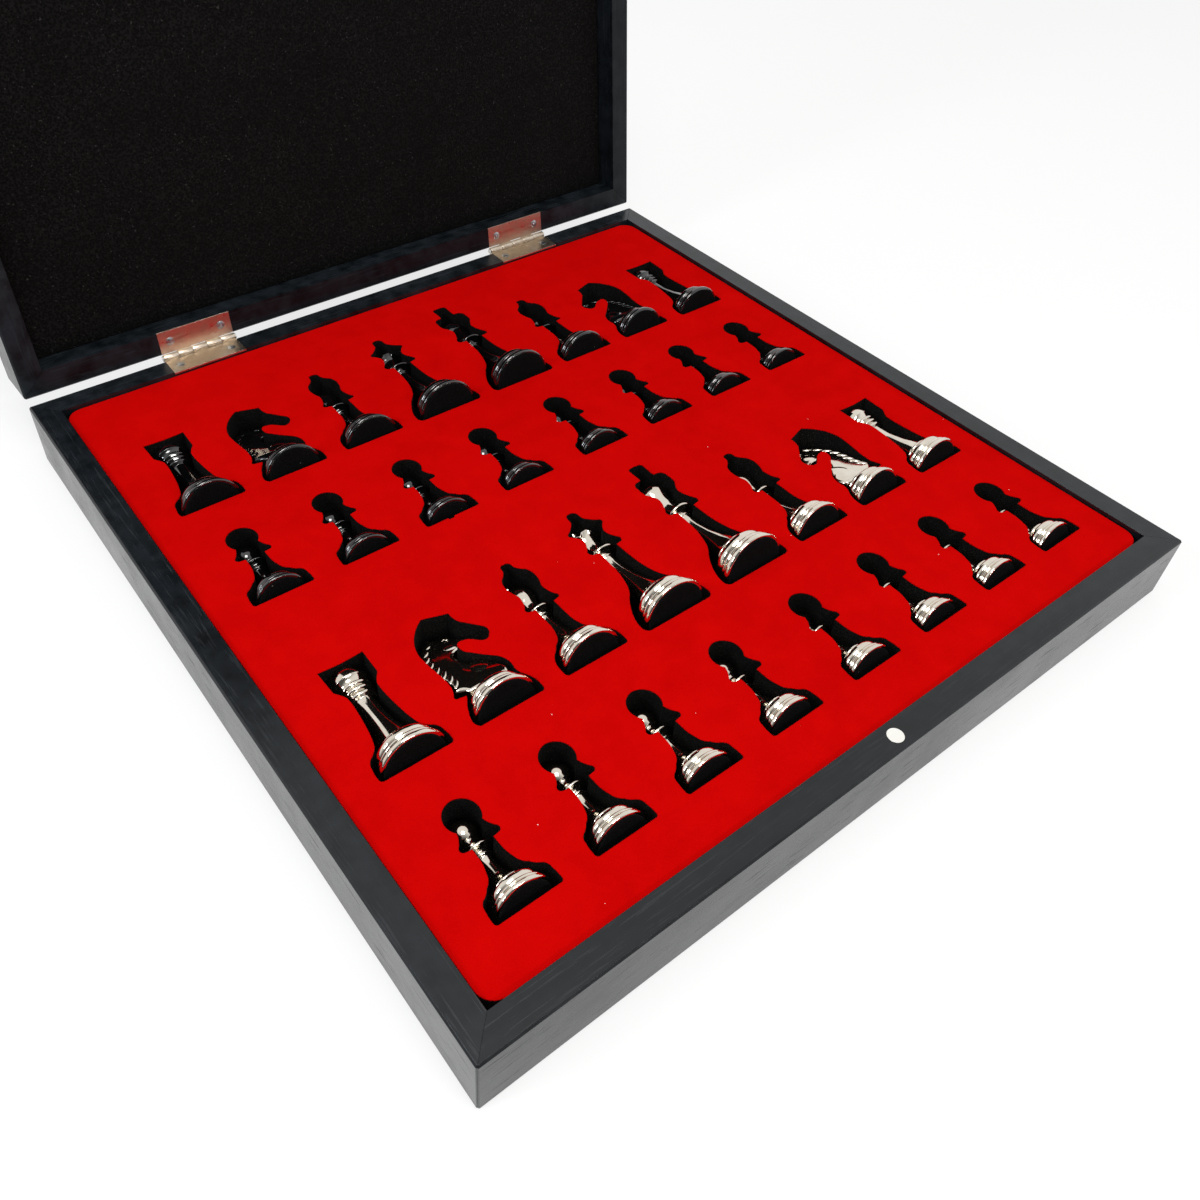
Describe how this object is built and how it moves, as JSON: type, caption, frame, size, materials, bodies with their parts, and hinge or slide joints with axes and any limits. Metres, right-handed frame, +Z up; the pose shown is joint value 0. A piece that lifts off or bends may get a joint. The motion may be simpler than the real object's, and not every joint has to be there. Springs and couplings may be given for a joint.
{
  "type": "chess storage case",
  "caption": "Hinged black wooden case whose red flocked foam tray holds metal chessmen on their sides, under a foam-lined lid.",
  "frame": {"origin": "centre of the base's underside", "axes": "+X along the front to the right, +Y from the front to the hinges at the back, +Z up"},
  "size_m": [0.4, 0.4844, 0.4327],
  "materials": {
    "stained_wood": "satin, black stained, open pores",
    "charcoal_foam": "matte closed-cell foam",
    "red_flock": "velvety flock",
    "magnet": "nickel-plated",
    "nickel": "plated",
    "chromed_metal": "polished",
    "black_lacquered_metal": "gloss"
  },
  "bodies": {
    "base": {"base_front_rail": "stained_wood", "base_right_rail": "stained_wood", "base_back_rail": "stained_wood", "base_left_rail": "stained_wood", "base_bottom_panel": "stained_wood", "base_foam_underlay": "charcoal_foam", "base_foam_insert_front_left": "charcoal_foam", "base_foam_insert_front_right": "charcoal_foam", "base_foam_insert_back_left": "charcoal_foam", "base_foam_insert_back_right": "charcoal_foam", "base_flocked_sheet": "red_flock", "base_magnet": "magnet", "base_hinge_nails": "nickel", "left_hinge_base_leaf": "nickel", "right_hinge_base_leaf": "nickel", "left_hinge_pin": "nickel", "right_hinge_pin": "nickel"},
    "lid": {"lid_front_rail": "stained_wood", "lid_right_rail": "stained_wood", "lid_back_rail": "stained_wood", "lid_left_rail": "stained_wood", "lid_top_panel": "stained_wood", "lid_foam_lining": "charcoal_foam", "lid_magnet": "magnet", "lid_hinge_nails": "nickel", "left_hinge_lid_leaf": "nickel", "right_hinge_lid_leaf": "nickel"},
    "black_rook_left": {"black_rook_left": "black_lacquered_metal"},
    "black_pawn_1": {"black_pawn_1": "black_lacquered_metal"},
    "black_knight_left": {"black_knight_left": "black_lacquered_metal"},
    "black_pawn_2": {"black_pawn_2": "black_lacquered_metal"},
    "black_bishop_left": {"black_bishop_left": "black_lacquered_metal"},
    "black_pawn_3": {"black_pawn_3": "black_lacquered_metal"},
    "black_queen": {"black_queen": "black_lacquered_metal"},
    "black_pawn_4": {"black_pawn_4": "black_lacquered_metal"},
    "black_king": {"black_king": "black_lacquered_metal"},
    "black_pawn_5": {"black_pawn_5": "black_lacquered_metal"},
    "black_bishop_right": {"black_bishop_right": "black_lacquered_metal"},
    "black_pawn_6": {"black_pawn_6": "black_lacquered_metal"},
    "black_knight_right": {"black_knight_right": "black_lacquered_metal"},
    "black_pawn_7": {"black_pawn_7": "black_lacquered_metal"},
    "black_rook_right": {"black_rook_right": "black_lacquered_metal"},
    "black_pawn_8": {"black_pawn_8": "black_lacquered_metal"},
    "silver_rook_left": {"silver_rook_left": "chromed_metal"},
    "silver_pawn_1": {"silver_pawn_1": "chromed_metal"},
    "silver_knight_left": {"silver_knight_left": "chromed_metal"},
    "silver_pawn_2": {"silver_pawn_2": "chromed_metal"},
    "silver_bishop_left": {"silver_bishop_left": "chromed_metal"},
    "silver_pawn_3": {"silver_pawn_3": "chromed_metal"},
    "silver_queen": {"silver_queen": "chromed_metal"},
    "silver_pawn_4": {"silver_pawn_4": "chromed_metal"},
    "silver_king": {"silver_king": "chromed_metal"},
    "silver_pawn_5": {"silver_pawn_5": "chromed_metal"},
    "silver_bishop_right": {"silver_bishop_right": "chromed_metal"},
    "silver_pawn_6": {"silver_pawn_6": "chromed_metal"},
    "silver_knight_right": {"silver_knight_right": "chromed_metal"},
    "silver_pawn_7": {"silver_pawn_7": "chromed_metal"},
    "silver_rook_right": {"silver_rook_right": "chromed_metal"},
    "silver_pawn_8": {"silver_pawn_8": "chromed_metal"}
  },
  "joints": [
    {"name": "lid_hinge", "type": "hinge", "parent": "base", "child": "lid", "pos_m": [0, 0.2021, 0.03415], "axis": [-1, 0, 0], "range_deg": [-97.5, 0]},
    {"name": "black_rook_left_lift", "type": "slide", "parent": "base", "child": "black_rook_left", "axis": [0, 0, 1], "range_m": [0, 0.06]},
    {"name": "black_pawn_1_lift", "type": "slide", "parent": "base", "child": "black_pawn_1", "axis": [0, 0, 1], "range_m": [0, 0.06]},
    {"name": "black_knight_left_lift", "type": "slide", "parent": "base", "child": "black_knight_left", "axis": [0, 0, 1], "range_m": [0, 0.06]},
    {"name": "black_pawn_2_lift", "type": "slide", "parent": "base", "child": "black_pawn_2", "axis": [0, 0, 1], "range_m": [0, 0.06]},
    {"name": "black_bishop_left_lift", "type": "slide", "parent": "base", "child": "black_bishop_left", "axis": [0, 0, 1], "range_m": [0, 0.06]},
    {"name": "black_pawn_3_lift", "type": "slide", "parent": "base", "child": "black_pawn_3", "axis": [0, 0, 1], "range_m": [0, 0.06]},
    {"name": "black_queen_lift", "type": "slide", "parent": "base", "child": "black_queen", "axis": [0, 0, 1], "range_m": [0, 0.06]},
    {"name": "black_pawn_4_lift", "type": "slide", "parent": "base", "child": "black_pawn_4", "axis": [0, 0, 1], "range_m": [0, 0.06]},
    {"name": "black_king_lift", "type": "slide", "parent": "base", "child": "black_king", "axis": [0, 0, 1], "range_m": [0, 0.06]},
    {"name": "black_pawn_5_lift", "type": "slide", "parent": "base", "child": "black_pawn_5", "axis": [0, 0, 1], "range_m": [0, 0.06]},
    {"name": "black_bishop_right_lift", "type": "slide", "parent": "base", "child": "black_bishop_right", "axis": [0, 0, 1], "range_m": [0, 0.06]},
    {"name": "black_pawn_6_lift", "type": "slide", "parent": "base", "child": "black_pawn_6", "axis": [0, 0, 1], "range_m": [0, 0.06]},
    {"name": "black_knight_right_lift", "type": "slide", "parent": "base", "child": "black_knight_right", "axis": [0, 0, 1], "range_m": [0, 0.06]},
    {"name": "black_pawn_7_lift", "type": "slide", "parent": "base", "child": "black_pawn_7", "axis": [0, 0, 1], "range_m": [0, 0.06]},
    {"name": "black_rook_right_lift", "type": "slide", "parent": "base", "child": "black_rook_right", "axis": [0, 0, 1], "range_m": [0, 0.06]},
    {"name": "black_pawn_8_lift", "type": "slide", "parent": "base", "child": "black_pawn_8", "axis": [0, 0, 1], "range_m": [0, 0.06]},
    {"name": "silver_rook_left_lift", "type": "slide", "parent": "base", "child": "silver_rook_left", "axis": [0, 0, 1], "range_m": [0, 0.06]},
    {"name": "silver_pawn_1_lift", "type": "slide", "parent": "base", "child": "silver_pawn_1", "axis": [0, 0, 1], "range_m": [0, 0.06]},
    {"name": "silver_knight_left_lift", "type": "slide", "parent": "base", "child": "silver_knight_left", "axis": [0, 0, 1], "range_m": [0, 0.06]},
    {"name": "silver_pawn_2_lift", "type": "slide", "parent": "base", "child": "silver_pawn_2", "axis": [0, 0, 1], "range_m": [0, 0.06]},
    {"name": "silver_bishop_left_lift", "type": "slide", "parent": "base", "child": "silver_bishop_left", "axis": [0, 0, 1], "range_m": [0, 0.06]},
    {"name": "silver_pawn_3_lift", "type": "slide", "parent": "base", "child": "silver_pawn_3", "axis": [0, 0, 1], "range_m": [0, 0.06]},
    {"name": "silver_queen_lift", "type": "slide", "parent": "base", "child": "silver_queen", "axis": [0, 0, 1], "range_m": [0, 0.06]},
    {"name": "silver_pawn_4_lift", "type": "slide", "parent": "base", "child": "silver_pawn_4", "axis": [0, 0, 1], "range_m": [0, 0.06]},
    {"name": "silver_king_lift", "type": "slide", "parent": "base", "child": "silver_king", "axis": [0, 0, 1], "range_m": [0, 0.06]},
    {"name": "silver_pawn_5_lift", "type": "slide", "parent": "base", "child": "silver_pawn_5", "axis": [0, 0, 1], "range_m": [0, 0.06]},
    {"name": "silver_bishop_right_lift", "type": "slide", "parent": "base", "child": "silver_bishop_right", "axis": [0, 0, 1], "range_m": [0, 0.06]},
    {"name": "silver_pawn_6_lift", "type": "slide", "parent": "base", "child": "silver_pawn_6", "axis": [0, 0, 1], "range_m": [0, 0.06]},
    {"name": "silver_knight_right_lift", "type": "slide", "parent": "base", "child": "silver_knight_right", "axis": [0, 0, 1], "range_m": [0, 0.06]},
    {"name": "silver_pawn_7_lift", "type": "slide", "parent": "base", "child": "silver_pawn_7", "axis": [0, 0, 1], "range_m": [0, 0.06]},
    {"name": "silver_rook_right_lift", "type": "slide", "parent": "base", "child": "silver_rook_right", "axis": [0, 0, 1], "range_m": [0, 0.06]},
    {"name": "silver_pawn_8_lift", "type": "slide", "parent": "base", "child": "silver_pawn_8", "axis": [0, 0, 1], "range_m": [0, 0.06]}
  ]
}
